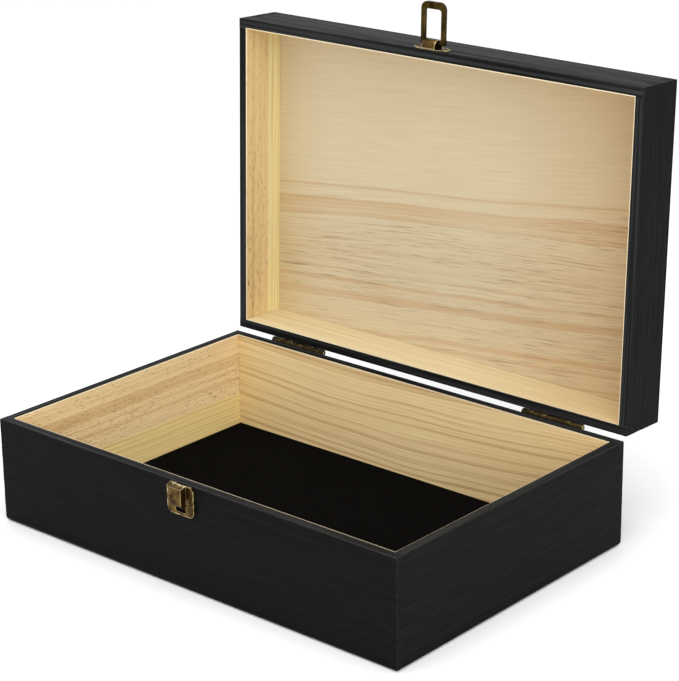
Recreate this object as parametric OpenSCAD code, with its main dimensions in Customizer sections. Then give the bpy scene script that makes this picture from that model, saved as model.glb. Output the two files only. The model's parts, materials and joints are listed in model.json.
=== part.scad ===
// Hinged pine storage and display case with finger-jointed corners, a felt floor,
// two butt hinges and a hasp latch. It is drawn standing open.
// X runs along the front, Y from front to back, Z up.
// The origin is the centre of the underside.

/* [Box] */
// Outside length of the box
box_w = 300; // [220:1:400]
// Outside depth of the box, front to back
box_d = 200; // [140:1:280]
// Height of the base, from its underside to its rim
base_h = 64; // [50:1:110]
// Height of the lid, from its rim to its top
lid_h = 34; // [31:1:60]
// Thickness of the pine walls
wall = 6; // [5:0.25:10]
// Thickness of the bottom panel and of the top panel
panel_t = 3; // [2:0.25:6]
// Radius of the rounded outer edge of each panel
panel_edge_r = 2.6; // [0.5:0.1:4]
// Height of one finger of the corner joints
finger_h = 7.35; // [5:0.05:10]
// Glue line between two pieces of wood
glue_gap = 0.05; // [0.02:0.01:0.15]
// Angle at which the open lid rests on its hinge stops
open_angle = 92.1; // [85:0.1:100]
// Gap between the two rims when the lid is shut
seam_gap = 0.15; // [0.1:0.05:0.4]

/* [Felt] */
// Thickness of the felt sheet
felt_t = 0.6; // [0.4:0.1:3]
// Gap between the felt and the walls around it
felt_gap = 0.3; // [0.1:0.1:1]

/* [Hinges] */
// Distance of each hinge's middle from the end of the box
hinge_inset = 51; // [36:1:70]
// Length of one hinge along its pin
hinge_l = 42.5; // [35:0.5:60]
// Number of knuckles on one hinge
knuckles = 5; // [3:2:7]
// Width of one leaf, from the pin to its far edge
leaf_w = 14; // [12:0.5:18]
// Thickness of the hinge sheet
leaf_t = 0.8; // [0.6:0.05:1]
// Radius of a leaf's far corners
leaf_corner_r = 1.5; // [0.5:0.1:2.5]
// Radius of the hinge pin
hinge_pin_r = 0.8; // [0.6:0.05:0.9]
// Running clearance between the pin and a knuckle
pin_clear = 0.05; // [0.03:0.01:0.08]
// Outer radius of the knuckles
knuckle_r = 1.85; // [1.7:0.05:2.2]
// Clearance between a knuckle and the wood beside it
knuckle_clear = 0.25; // [0.15:0.05:0.5]
// Gap between two neighbouring knuckles
knuckle_gap = 0.2; // [0.1:0.05:0.4]
// Radius of the peened ends of the pin
pin_end_r = 1.3; // [1.1:0.1:1.6]
// Thickness of the peened ends of the pin
pin_end_t = 0.5; // [0.3:0.1:0.8]
// Distance between the two screws of one leaf
leaf_screw_pitch = 26; // [16:0.5:30]
// Distance of the screws from the pin
leaf_screw_out = 8; // [7:0.25:9]
// Reach of the stop lug behind the pin
stop_reach = 4.4; // [3.5:0.1:5]
// Thickness of the stop lug
stop_t = 1; // [0.8:0.05:1.1]
// Gap between the stop lug and the lid's leaf at rest
stop_clear = 0.08; // [0.05:0.01:0.15]

/* [Screws] */
// Radius of a screw's shank
shank_r = 0.95; // [0.7:0.05:1.1]
// Radius of a screw's domed head
head_r = 1.8; // [1.5:0.05:2]
// Height of a screw's domed head
head_h = 0.8; // [0.5:0.05:1]
// Length of a screw's point
point_l = 1.4; // [1:0.1:2]
// Wood left between a screw's point and the inside of the wall
screw_cover = 1.2; // [0.8:0.1:2]
// Clearance around a shank in its wooden pilot hole
pilot_clear = 0.05; // [0.03:0.01:0.1]
// Clearance around a shank in its metal hole
hole_clear = 0.15; // [0.1:0.05:0.3]
// Radius at the tip of a screw's point
point_r = 0.25; // [0.15:0.05:0.4]
// Width of the cross cut into a head
cross_w = 0.45; // [0.3:0.05:0.6]
// Length of the cross cut into a head
cross_l = 2.2; // [1.6:0.1:2.6]
// Depth of the cross cut into a head
cross_depth = 0.4; // [0.2:0.05:0.45]

/* [Catch] */
// Distance of the latch from the middle of the box, along the front
latch_x = -1.2; // [-10:0.1:10]
// Width of the catch plate
catch_w = 20; // [19.5:0.5:24]
// Height of the catch plate
catch_h = 18; // [17:0.5:22]
// Distance of the catch plate's top edge below the rim
catch_drop = 0.3; // [0.1:0.1:2]
// How far the catch plate's face stands out from the wall
catch_out = 1.6; // [1.5:0.1:2]
// Thickness of the latch sheet
sheet_t = 0.7; // [0.5:0.05:0.8]
// Radius of the catch plate's lower corners
catch_corner_r = 3.5; // [2:0.25:4.5]
// Size of the cut across the catch plate's upper corners
catch_corner_cut = 2.4; // [1:0.1:3]
// Width of the raised catch
bump_w = 8.8; // [7:0.1:9.4]
// Height of the raised catch
bump_h = 11; // [8:0.5:12]
// How far the raised catch stands out from the wall
bump_out = 5.7; // [4.5:0.1:6.5]
// Distance of the raised catch below the plate's top edge
bump_drop = 1; // [0.9:0.1:2]
// Radius of the raised catch's rounded lower lip
bump_lip_r = 2; // [1:0.1:2.5]
// Distance of the window's lower edge below the plate's top edge
window_low = 16.3; // [14.5:0.1:16.3]
// Distance between the two screws of the catch plate
catch_screw_pitch = 14.2; // [13.8:0.1:15]
// Distance of the catch plate's screws below its top edge
catch_screw_drop = 9; // [7:0.25:11]
// Clearance around a screw's head in its dimple
dimple_clear = 0.3; // [0.2:0.05:0.4]

/* [Hasp] */
// Width of the hasp plate over its two ears
hasp_w = 25.2; // [25:0.1:32]
// Height of the hasp plate's middle part
hasp_h = 10.4; // [9.6:0.2:13]
// Width of the hasp plate's middle part
hasp_body_w = 16; // [14:0.5:18]
// Height of the hasp plate's ears
ear_h = 7; // [5:0.25:8]
// Distance between the two screws of the hasp plate
hasp_screw_pitch = 20.6; // [20:0.1:21]
// Distance of the loop's pivot above the lid's rim
pivot_up = 5.6; // [5.4:0.1:8]
// Radius of the saddle's arch
saddle_r = 4.1; // [3.6:0.1:4.4]
// How far the saddle stands out from the wall
saddle_out = 5.8; // [5.4:0.1:6.5]
// Clearance between the loop and the saddle
loop_clear = 0.3; // [0.2:0.05:0.4]
// Play between the raised catch and each arm of the loop
loop_play = 1.7; // [1.2:0.1:1.8]
// Play between the saddle and each arm of the loop
saddle_play = 1.5; // [1.1:0.1:1.8]
// How far the loop has slid to the right along its pivot
loop_slide = 0.8; // [0:0.1:0.8]
// Thickness of the loop, and of its pivot bar
loop_t = 2.1; // [1.6:0.1:2.2]
// Width of the loop's two arms
arm_w = 2.7; // [2:0.1:3]
// Width of the loop's end
loop_end_w = 4.2; // [3:0.1:5]
// Reach of the loop from the wall when it stands square to it
loop_reach = 27.6; // [25:0.1:28]
// Outer radius of the loop's end corners
loop_corner_r = 4.5; // [3:0.1:5]
// Inner radius of the loop's end corners
loop_inner_r = 1.6; // [0.8:0.1:2.5]

/* [Hidden] */
$fn = 48;
// Overshoot that carries a cut clear of the face it starts from
eps = 1;
// Colours as the photograph shows them
stained = "#262628";
bronze = "#8a7040";
felt_black = "#0c0c0c";

// Heights of the two frames without their panels
base_frame_h = base_h - panel_t - glue_gap;
lid_frame_h = lid_h - panel_t - glue_gap;
// Height of the lid's rim when the lid is shut
lid_z = base_h + seam_gap;
// Radius of the panels' rounded edges, held inside the panel
edge_r = min(panel_edge_r, panel_t - 0.3);
// Hinge axis
hinge_y = box_d / 2 + knuckle_r + knuckle_clear;
hinge_z = base_h + seam_gap / 2;
// Offset of a leaf's inner face from the axis, on the wood
leaf_back = knuckle_r + knuckle_clear;
knuckle_l = hinge_l / knuckles;
bore_r = hinge_pin_r + pin_clear;
// Depth of a screw in the wood
screw_in = wall - screw_cover;
pilot_r = shank_r + pilot_clear;
hole_r = shank_r + hole_clear;
dimple_r = head_r + dimple_clear;
// Distance of the loop's pivot from the wall
pivot_out = saddle_out - sheet_t - loop_clear - loop_t / 2;
// Half widths of the loop, inside and outside
loop_in = bump_w / 2 + loop_play;
loop_half = loop_in + arm_w;
// Width of the arched saddle that holds the loop
saddle_w = 2 * (loop_in - saddle_play);

// The corner joints. Distances are counted from the rim, and the finger at the rim
// takes what the whole fingers leave over. Even fingers belong to the long walls.
function finger_count(h) = max(2, floor(h / finger_h));
function finger_edge(h, i) = i == 0 ? 0 : h - (finger_count(h) - i) * finger_h;

// Turns the lid from shut to open
module lid_opened() {
    translate([0, hinge_y, hinge_z])
        rotate([-open_angle, 0, 0])
            translate([0, -hinge_y, -hinge_z])
                children();
}

// A frame with its rim at z = 0, placed as the base's frame
module as_base() {
    translate([0, 0, base_h])
        mirror([0, 0, 1])
            children();
}

// A frame with its rim at z = 0, placed as the open lid's frame
module as_lid() {
    lid_opened()
        translate([0, 0, lid_z])
            children();
}

// Height range of one notch, past the frame's end for the last and the first finger
module notch_slab(h, i, size_x, size_y) {
    low = i == 0 ? -eps : finger_edge(h, i) - glue_gap / 2;
    high = i == finger_count(h) - 1 ? h + eps : finger_edge(h, i + 1) + glue_gap / 2;
    translate([-size_x / 2, -size_y / 2, low])
        cube([size_x, size_y, high - low]);
}

// The front board of a frame, its rim at z = 0
module front_board(h) {
    depth = wall + glue_gap;
    difference() {
        translate([-box_w / 2, -box_d / 2, 0])
            cube([box_w, wall, h]);
        for (side = [-1, 1], i = [1 : 2 : finger_count(h) - 1])
            translate([side * (box_w / 2 - depth + (depth + eps) / 2), -box_d / 2 + wall / 2, 0])
                notch_slab(h, i, depth + eps, wall + 2 * eps);
    }
}

// The right board of a frame, its rim at z = 0
module right_board(h) {
    depth = wall + glue_gap;
    difference() {
        translate([box_w / 2 - wall, -box_d / 2, 0])
            cube([wall, box_d, h]);
        for (side = [-1, 1], i = [0 : 2 : finger_count(h) - 1])
            translate([box_w / 2 - wall / 2, side * (box_d / 2 - depth + (depth + eps) / 2), 0])
                notch_slab(h, i, wall + 2 * eps, depth + eps);
    }
}

module back_board(h) {
    mirror([0, 1, 0])
        front_board(h);
}

module left_board(h) {
    mirror([1, 0, 0])
        right_board(h);
}

// Cross-section of a panel that is flat at y = 0 and rounded along both ends of its far face
module panel_section(length) {
    translate([-length / 2, 0])
        square([length, panel_t - edge_r]);
    translate([-length / 2 + edge_r, 0])
        square([length - 2 * edge_r, panel_t]);
    intersection() {
        translate([-length / 2, 0])
            square([length, panel_t]);
        for (side = [-1, 1])
            translate([side * (length / 2 - edge_r), panel_t - edge_r])
                circle(r = edge_r);
    }
}

// A panel lying on z = 0 with its rounded edges on top
module panel() {
    intersection() {
        rotate([90, 0, 0])
            translate([0, 0, -box_d / 2 - eps])
                linear_extrude(box_d + 2 * eps)
                    panel_section(box_w);
        rotate([90, 0, 90])
            translate([0, 0, -box_w / 2 - eps])
                linear_extrude(box_w + 2 * eps)
                    panel_section(box_d);
    }
}

// A screw along Z with the underside of its head at z = 0
module screw(grip) {
    length = grip + screw_in;
    dome_r = (head_r * head_r + head_h * head_h) / (2 * head_h);
    translate([0, 0, -length + point_l])
        cylinder(h = length - point_l, r = shank_r);
    translate([0, 0, -length])
        cylinder(h = point_l, r1 = point_r, r2 = shank_r);
    difference() {
        rotate_extrude()
            intersection() {
                translate([0, head_h - dome_r])
                    circle(r = dome_r, $fn = 96);
                square([head_r, head_h]);
            }
        for (turn = [0, 90])
            rotate([0, 0, turn])
                translate([-cross_l / 2, -cross_w / 2, head_h - cross_depth])
                    cube([cross_l, cross_w, cross_depth + eps]);
    }
}

// A pilot hole into the wood, whose surface is at z = 0
module pilot() {
    translate([0, 0, -screw_in - pilot_clear])
        cylinder(h = screw_in + pilot_clear + eps, r = pilot_r);
}

// Frame on the back faces: X to the left seen from behind, Y up from the axis, Z out of the wall
module on_back(side) {
    translate([side * (box_w / 2 - hinge_inset), box_d / 2, hinge_z])
        rotate([90, 0, 180])
            children();
}

// Frame on the front faces: X along the front, Y up from the given height, Z out of the wall
module on_front(height) {
    translate([latch_x, -box_d / 2, height])
        rotate([90, 0, 0])
            children();
}

// Screw places of one leaf, as children at each, up is 1 above the pin and -1 below it
module leaf_screw_places(up) {
    for (side = [-1, 1])
        translate([side * leaf_screw_pitch / 2, up * leaf_screw_out, 0])
            children();
}

module hinge_screw_places(up) {
    for (side = [-1, 1])
        on_back(side)
            leaf_screw_places(up)
                children();
}

module catch_screw_places() {
    on_front(base_h - catch_drop - catch_screw_drop)
        for (side = [-1, 1])
            translate([side * catch_screw_pitch / 2, 0, 0])
                children();
}

module hasp_screw_places() {
    on_front(lid_z + pivot_up)
        for (side = [-1, 1])
            translate([side * hasp_screw_pitch / 2, 0, 0])
                children();
}

// Outline of a leaf that hangs down from the pin, without its knuckles
module leaf_outline() {
    r = leaf_corner_r;
    top = -seam_gap / 2;
    translate([-hinge_l / 2, -leaf_w + r])
        square([hinge_l, top + leaf_w - r]);
    translate([-hinge_l / 2 + r, -leaf_w])
        square([hinge_l - 2 * r, top + leaf_w]);
    for (side = [-1, 1])
        translate([side * (hinge_l / 2 - r), -leaf_w + r])
            circle(r = r);
}

// Knuckle i of a hinge grown by some amount in length and to some radius
module knuckle(i, radius, grow) {
    translate([-hinge_l / 2 + i * knuckle_l - grow, 0, leaf_back])
        rotate([0, 90, 0])
            cylinder(h = knuckle_l + 2 * grow, r = radius);
}

// A leaf below the pin in the frame of the back faces. It has every second knuckle from first.
module leaf(first) {
    second = 1 - first;
    difference() {
        union() {
            linear_extrude(leaf_t)
                leaf_outline();
            for (i = [first : 2 : knuckles - 1])
                knuckle(i, knuckle_r, -knuckle_gap / 2);
        }
        for (i = [second : 2 : knuckles - 1])
            knuckle(i, knuckle_r + knuckle_clear, knuckle_gap / 2);
        translate([-hinge_l / 2 - eps, 0, leaf_back])
            rotate([0, 90, 0])
                cylinder(h = hinge_l + 2 * eps, r = bore_r);
        leaf_screw_places(-1)
            translate([0, 0, -eps])
                cylinder(h = leaf_t + 2 * eps, r = hole_r);
    }
}

// The lug under the open lid's leaf. It is part of the middle knuckle of the base's leaf.
module stop_lug() {
    middle = (knuckles - 1) / 2;
    width = knuckle_l - knuckle_gap;
    difference() {
        translate([-hinge_l / 2 + middle * knuckle_l + knuckle_gap / 2, 0, leaf_back])
            rotate([open_angle, 0, 0])
                translate([0, 0, -(leaf_back - leaf_t) + stop_clear])
                    cube([width, stop_reach, stop_t]);
        translate([-hinge_l / 2 - eps, 0, leaf_back])
            rotate([0, 90, 0])
                cylinder(h = hinge_l + 2 * eps, r = bore_r);
    }
}

module hinge_base_leaf(side) {
    color(bronze)
        on_back(side) {
            leaf(0);
            stop_lug();
        }
}

module hinge_lid_leaf(side) {
    color(bronze)
        lid_opened()
            on_back(side)
                mirror([0, 1, 0])
                    leaf(1);
}

module hinge_pin(side) {
    color(bronze)
        on_back(side)
            translate([0, 0, leaf_back])
                rotate([0, 90, 0]) {
                    cylinder(h = hinge_l, r = hinge_pin_r, center = true);
                    for (end = [-1, 1])
                        translate([0, 0, end * (hinge_l + pin_end_t) / 2])
                            cylinder(h = pin_end_t, r = pin_end_r, center = true);
                }
}

// Outline of the catch plate, drawn in from its edge by some amount, its top edge at y = 0
module catch_outline(inset) {
    r = catch_corner_r - inset;
    w = catch_w - 2 * inset;
    top = -inset;
    bottom = -catch_h + inset;
    cut = catch_corner_cut - (2 - sqrt(2)) * inset;
    polygon([[-w / 2 + cut, top], [w / 2 - cut, top], [w / 2, top - cut], [w / 2, bottom + r],
        [w / 2 - r, bottom], [-w / 2 + r, bottom], [-w / 2, bottom + r], [-w / 2, top - cut]]);
    for (side = [-1, 1])
        translate([side * (w / 2 - r), bottom + r])
            circle(r = r);
}

// Side view of the raised catch, drawn in by some amount: X out of the wall, Y up.
// Its top slopes from the plate's top edge down to its front.
module bump_section(inset) {
    r = bump_lip_r - inset;
    out = bump_out - inset;
    bottom = -bump_drop - bump_h + inset;
    front_top = -bump_drop - inset;
    polygon([[0, bottom + r], [out, bottom + r], [out, front_top], [catch_out, -inset], [0, -inset]]);
    translate([0, bottom])
        square([out - r, r]);
    translate([out - r, bottom + r])
        circle(r = r);
}

// Extrudes a side view across the latch, centred on it
module across(width) {
    translate([width / 2, 0, 0])
        rotate([0, -90, 0])
            linear_extrude(width)
                children();
}

module catch_plate() {
    clear_w = bump_w - 2 * sheet_t;
    color(bronze)
        on_front(base_h - catch_drop)
            difference() {
                union() {
                    difference() {
                        linear_extrude(catch_out)
                            catch_outline(0);
                        translate([0, 0, -eps])
                            linear_extrude(catch_out - sheet_t + eps)
                                catch_outline(sheet_t);
                    }
                    for (side = [-1, 1])
                        translate([side * catch_screw_pitch / 2, -catch_screw_drop, 0])
                            cylinder(h = catch_out, r = dimple_r + sheet_t / 2);
                    across(bump_w)
                        bump_section(0);
                }
                // The hollow of the raised catch, open towards the wall
                across(clear_w)
                    for (back = [0, eps])
                        translate([-back, 0])
                            bump_section(sheet_t);
                // The slot in the plate's top edge behind the raised catch
                translate([-clear_w / 2, -eps, -eps])
                    cube([clear_w, 2 * eps, catch_out - sheet_t + eps]);
                // The window behind and below the raised catch, as far out as its lip
                translate([-clear_w / 2, -window_low, -eps])
                    cube([clear_w, window_low - bump_h / 2, bump_out - bump_lip_r + eps]);
                for (side = [-1, 1])
                    translate([side * catch_screw_pitch / 2, -catch_screw_drop, 0]) {
                        translate([0, 0, sheet_t])
                            cylinder(h = catch_out, r = dimple_r);
                        translate([0, 0, -eps])
                            cylinder(h = catch_out + 2 * eps, r = hole_r);
                    }
            }
}

// Outline of the hasp plate about the height of the loop's pivot
module hasp_outline() {
    r = ear_h / 2;
    square([hasp_body_w, hasp_h], center = true);
    square([hasp_w - 2 * r, ear_h], center = true);
    for (side = [-1, 1])
        translate([side * (hasp_w / 2 - r), 0])
            circle(r = r);
}

// Side view of the saddle, or of its hollow, about the height of the pivot: X out, Y up
module saddle_section(inset) {
    r = saddle_r - inset;
    centre = saddle_out - saddle_r;
    translate([0, -r])
        square([centre, 2 * r]);
    translate([centre, 0])
        circle(r = r);
}

module hasp_plate() {
    color(bronze)
        lid_opened()
            on_front(lid_z + pivot_up)
                difference() {
                    union() {
                        linear_extrude(sheet_t)
                            hasp_outline();
                        intersection() {
                            across(saddle_w)
                                saddle_section(0);
                            translate([-saddle_w, -hasp_h, 0])
                                cube([2 * saddle_w, 2 * hasp_h, 2 * saddle_out]);
                        }
                    }
                    across(saddle_w + 2 * eps)
                        for (back = [0, eps])
                            translate([-back, 0])
                                saddle_section(sheet_t);
                    for (side = [-1, 1])
                        translate([side * hasp_screw_pitch / 2, 0, -eps])
                            cylinder(h = sheet_t + 2 * eps, r = hole_r);
                }
}

// Outline of a strip that starts at y = start and has two rounded corners at its far end
module arch_outline(half, start, end, r) {
    translate([-half, start])
        square([2 * half, end - r - start]);
    translate([-half + r, start])
        square([2 * half - 2 * r, end - start]);
    for (side = [-1, 1])
        translate([side * (half - r), end - r])
            circle(r = r);
}

module hasp_loop() {
    reach = loop_reach - pivot_out;
    color(bronze)
        lid_opened()
            on_front(lid_z + pivot_up)
                translate([loop_slide, 0, pivot_out]) {
                    rotate([90, 0, 0])
                        translate([0, 0, -loop_t / 2])
                            linear_extrude(loop_t)
                                difference() {
                                    arch_outline(loop_half, 0, reach, loop_corner_r);
                                    arch_outline(loop_in, -eps, reach - loop_end_w, loop_inner_r);
                                }
                    rotate([0, 90, 0])
                        cylinder(h = 2 * loop_half, r = loop_t / 2, center = true);
                }
}

module bottom_panel() {
    color(stained)
        translate([0, 0, panel_t])
            mirror([0, 0, 1])
                panel();
}

module base_front_wall() {
    color(stained)
        difference() {
            as_base()
                front_board(base_frame_h);
            catch_screw_places()
                pilot();
        }
}

module base_back_wall() {
    color(stained)
        difference() {
            as_base()
                back_board(base_frame_h);
            hinge_screw_places(-1)
                pilot();
        }
}

module base_left_wall() {
    color(stained)
        as_base()
            left_board(base_frame_h);
}

module base_right_wall() {
    color(stained)
        as_base()
            right_board(base_frame_h);
}

module felt_liner() {
    inset = 2 * (wall + felt_gap);
    color(felt_black)
        translate([0, 0, panel_t + glue_gap + felt_t / 2])
            cube([box_w - inset, box_d - inset, felt_t], center = true);
}

module lid_top_panel() {
    color(stained)
        lid_opened()
            translate([0, 0, lid_z + lid_h - panel_t])
                panel();
}

module lid_front_wall() {
    color(stained)
        difference() {
            as_lid()
                front_board(lid_frame_h);
            lid_opened()
                hasp_screw_places()
                    pilot();
        }
}

module lid_back_wall() {
    color(stained)
        difference() {
            as_lid()
                back_board(lid_frame_h);
            lid_opened()
                hinge_screw_places(1)
                    pilot();
        }
}

module lid_left_wall() {
    color(stained)
        as_lid()
            left_board(lid_frame_h);
}

module lid_right_wall() {
    color(stained)
        as_lid()
            right_board(lid_frame_h);
}

module base_hinge_screws() {
    color(bronze)
        hinge_screw_places(-1)
            translate([0, 0, leaf_t])
                screw(leaf_t);
}

module lid_hinge_screws() {
    color(bronze)
        lid_opened()
            hinge_screw_places(1)
                translate([0, 0, leaf_t])
                    screw(leaf_t);
}

module catch_screws() {
    color(bronze)
        catch_screw_places()
            translate([0, 0, sheet_t])
                screw(sheet_t);
}

module hasp_screws() {
    color(bronze)
        lid_opened()
            hasp_screw_places()
                translate([0, 0, sheet_t])
                    screw(sheet_t);
}

bottom_panel();
base_front_wall();
base_back_wall();
base_left_wall();
base_right_wall();
felt_liner();
lid_top_panel();
lid_front_wall();
lid_back_wall();
lid_left_wall();
lid_right_wall();
hinge_base_leaf(-1);  // left_hinge_base_leaf
hinge_lid_leaf(-1);  // left_hinge_lid_leaf
hinge_pin(-1);  // left_hinge_pin
hinge_base_leaf(1);  // right_hinge_base_leaf
hinge_lid_leaf(1);  // right_hinge_lid_leaf
hinge_pin(1);  // right_hinge_pin
base_hinge_screws();
lid_hinge_screws();
catch_plate();
catch_screws();
hasp_plate();
hasp_loop();
hasp_screws();
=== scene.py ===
"""Looks of a hinged pine display case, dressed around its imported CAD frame."""

import json
import logging
import math
from dataclasses import asdict, dataclass, fields
from enum import Enum
from typing import Callable, Union

import bpy
from mathutils import Matrix, Vector


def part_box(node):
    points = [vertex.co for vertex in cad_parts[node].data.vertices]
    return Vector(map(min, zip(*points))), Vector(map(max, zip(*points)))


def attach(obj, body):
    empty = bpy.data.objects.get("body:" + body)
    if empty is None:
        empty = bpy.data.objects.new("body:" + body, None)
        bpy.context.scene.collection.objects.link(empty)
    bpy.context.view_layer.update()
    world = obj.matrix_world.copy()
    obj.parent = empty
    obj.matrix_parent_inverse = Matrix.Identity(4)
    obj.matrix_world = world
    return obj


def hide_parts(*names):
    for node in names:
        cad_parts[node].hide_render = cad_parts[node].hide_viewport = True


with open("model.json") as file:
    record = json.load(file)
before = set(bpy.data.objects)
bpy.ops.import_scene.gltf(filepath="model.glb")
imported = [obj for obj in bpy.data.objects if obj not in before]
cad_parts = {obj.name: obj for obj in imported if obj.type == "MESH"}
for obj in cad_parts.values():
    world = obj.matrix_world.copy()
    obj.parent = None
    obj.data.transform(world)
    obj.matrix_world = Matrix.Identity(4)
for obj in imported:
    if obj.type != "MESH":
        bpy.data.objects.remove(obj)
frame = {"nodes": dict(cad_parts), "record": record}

LOG = logging.getLogger("display_case")
MM = 0.001
Colour = tuple[float, float, float, float]
Triple = tuple[float, float, float]
Slab = tuple[Triple, Triple]
Socket = bpy.types.NodeSocket
Sources = bpy.types.NodeOutputs
Sinks = bpy.types.NodeInputs
Value = Union[float, Colour, Vector, Socket]
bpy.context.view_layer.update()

# Scales of the patterns, in repeats per metre. On wood they run along, across and into the board.
PINE_DRIFT = (5.0, 16.0, 16.0)
PINE_PATCHES = (9.0, 30.0, 30.0)
PINE_FIBRES = (22.0, 900.0, 900.0)
PINE_STREAKS = (11.0, 520.0, 520.0)
FLECK_ROWS = 3900.0
STAIN_STREAKS = (7.0, 620.0, 620.0)
STAIN_FIBRES = (60.0, 1700.0, 1700.0)
STAIN_CLOUDS = (7.0, 22.0, 22.0)
END_CELLS = (900.0, 900.0, 900.0)
EDGE_RUB = (260.0, 260.0, 260.0)
BRONZE_MOTTLE = (190.0, 190.0, 190.0)
BRONZE_BRUSH = (3200.0, 400.0, 3200.0)
FELT_MATTING = (700.0, 700.0, 700.0)
FELT_FIBRES = (1500.0, 700.0, 1500.0)
FELT_CLOUDS = (28.0, 28.0, 28.0)

# Growth rings: how fast and how far their width varies, and the shares of a ring's width
# where the dark part starts, on wide and on fine rings, and where it is darkest.
RING_CHANGES = 85.0
RING_VARIATION = 3.0
WIDE_START = 0.52
FINE_START = 0.5
RING_PEAK = 0.92

# Width of the soft border of the fine zone, of the ringed band and of the flecked band.
ZONE_BLUR = 0.6 * MM
BAND_BLUR = 1.5 * MM
FLECK_BLUR = 6.0 * MM

# How dark and pale fibres change red, green and blue.
FIBRE_SHADES = ((0.93, 1.05), (0.92, 1.05), (0.88, 1.06))

# Rounding of the CAD pieces' edges.
WELD_GAP = 0.002 * MM
FLAT_ANGLE = math.radians(1.0)
SHARP_ANGLE = math.radians(38)
EDGE_SEGMENTS = 2


def grey(level: float, warmth: float = 0.0) -> Colour:
    """A near-neutral colour.

    Args:
        level: Linear brightness.
        warmth: Share that moves from blue to red.

    Returns:
        The colour with full alpha.
    """
    return (level * (1 + warmth), level, level * (1 - warmth), 1.0)


def srgb(red: int, green: int, blue: int) -> Colour:
    """The linear colour of an 8-bit screen colour.

    Args:
        red: Red from 0 to 255.
        green: Green from 0 to 255.
        blue: Blue from 0 to 255.

    Returns:
        The linear colour with full alpha.
    """
    def channel(level: int) -> float:
        """One channel made linear."""
        share = level / 255
        return share / 12.92 if share <= 0.04045 else ((share + 0.055) / 1.055) ** 2.4

    return (channel(red), channel(green), channel(blue), 1.0)


STREAK_TONE = srgb(184, 142, 92)
FLECK_TONE = srgb(104, 66, 36)
PALE_LINE_TONE = srgb(250, 240, 212)
END_DARK, END_LIGHT = grey(0.0030), grey(0.0085)
# Lighter stain on the outer edges: partly wear, partly a painted highlight.
WORN_AND_HIGHLIT_STAIN = grey(0.05, 0.02)
# Bright bronze on rounded edges and plate rims: partly rubbed wear, partly a painted highlight.
RUBBED_AND_HIGHLIT_BRONZE = srgb(240, 220, 168)
FELT_DARK, FELT_LIGHT = grey(0.0003, -0.2), grey(0.0014, -0.2)


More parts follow.
